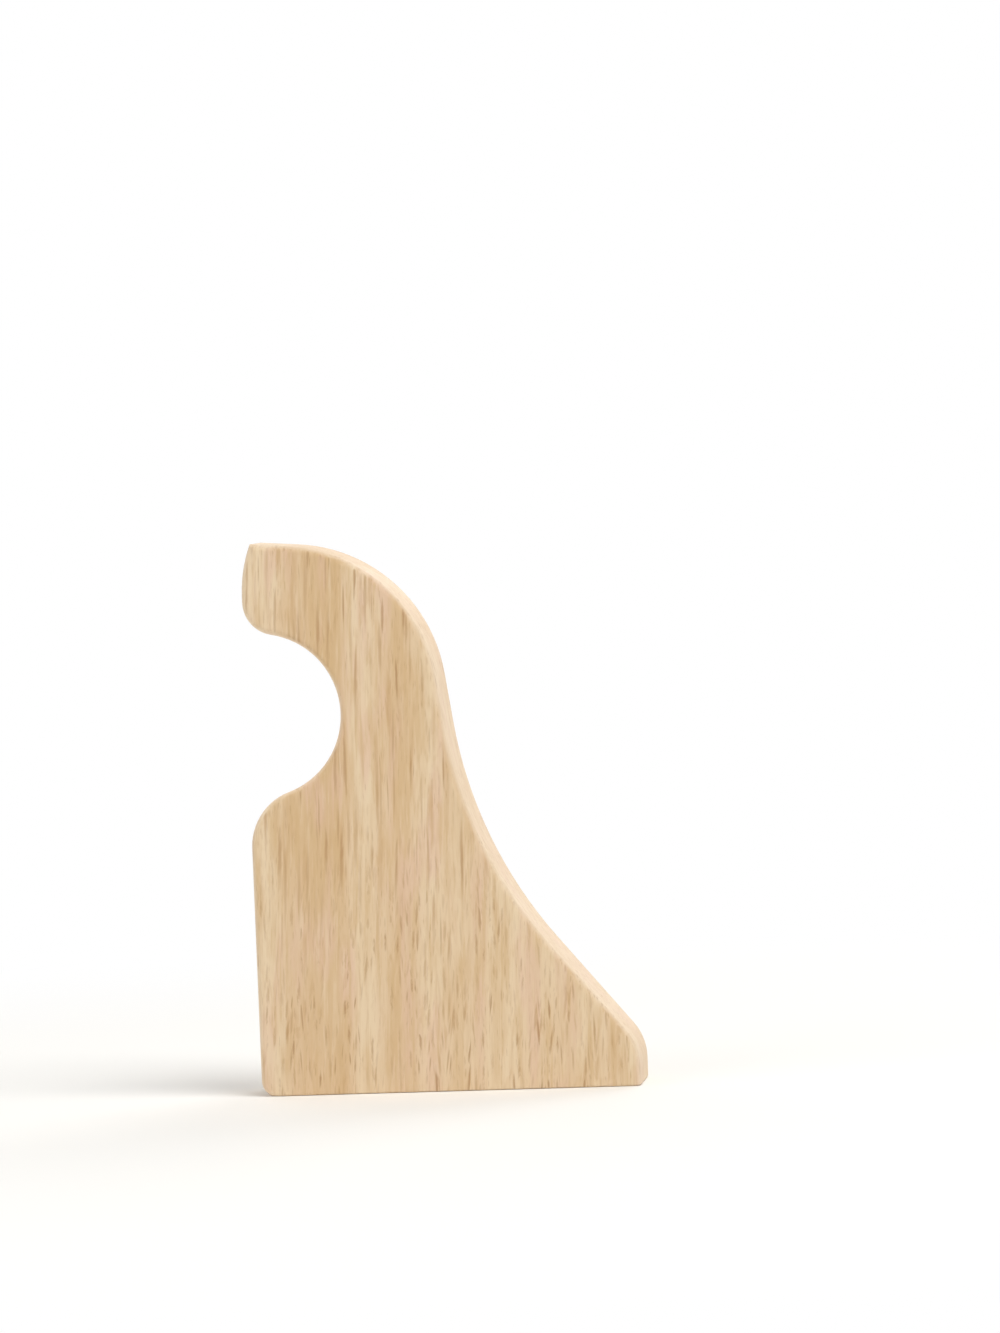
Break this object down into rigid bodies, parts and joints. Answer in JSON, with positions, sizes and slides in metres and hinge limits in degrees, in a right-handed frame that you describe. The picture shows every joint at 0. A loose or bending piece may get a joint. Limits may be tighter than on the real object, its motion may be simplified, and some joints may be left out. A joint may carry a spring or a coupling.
{
  "type": "curtain pole bracket",
  "caption": "Unfinished hardwood curtain pole bracket with an S-curved back, an open cup for the pole and keyholes in its wall face.",
  "frame": {"origin": "centre of the wall face, which is also the middle of the bounding box's bottom", "axes": "+Z out from the wall, -X up on the wall (the cup opens that way), Y along the pole and through the thickness"},
  "size_m": [0.0888, 0.0222, 0.1289],
  "materials": {
    "bare_wood": "bare, sanded, unfinished"
  },
  "bodies": {
    "root": {"bracket_body": "bare_wood"}
  },
  "joints": []
}
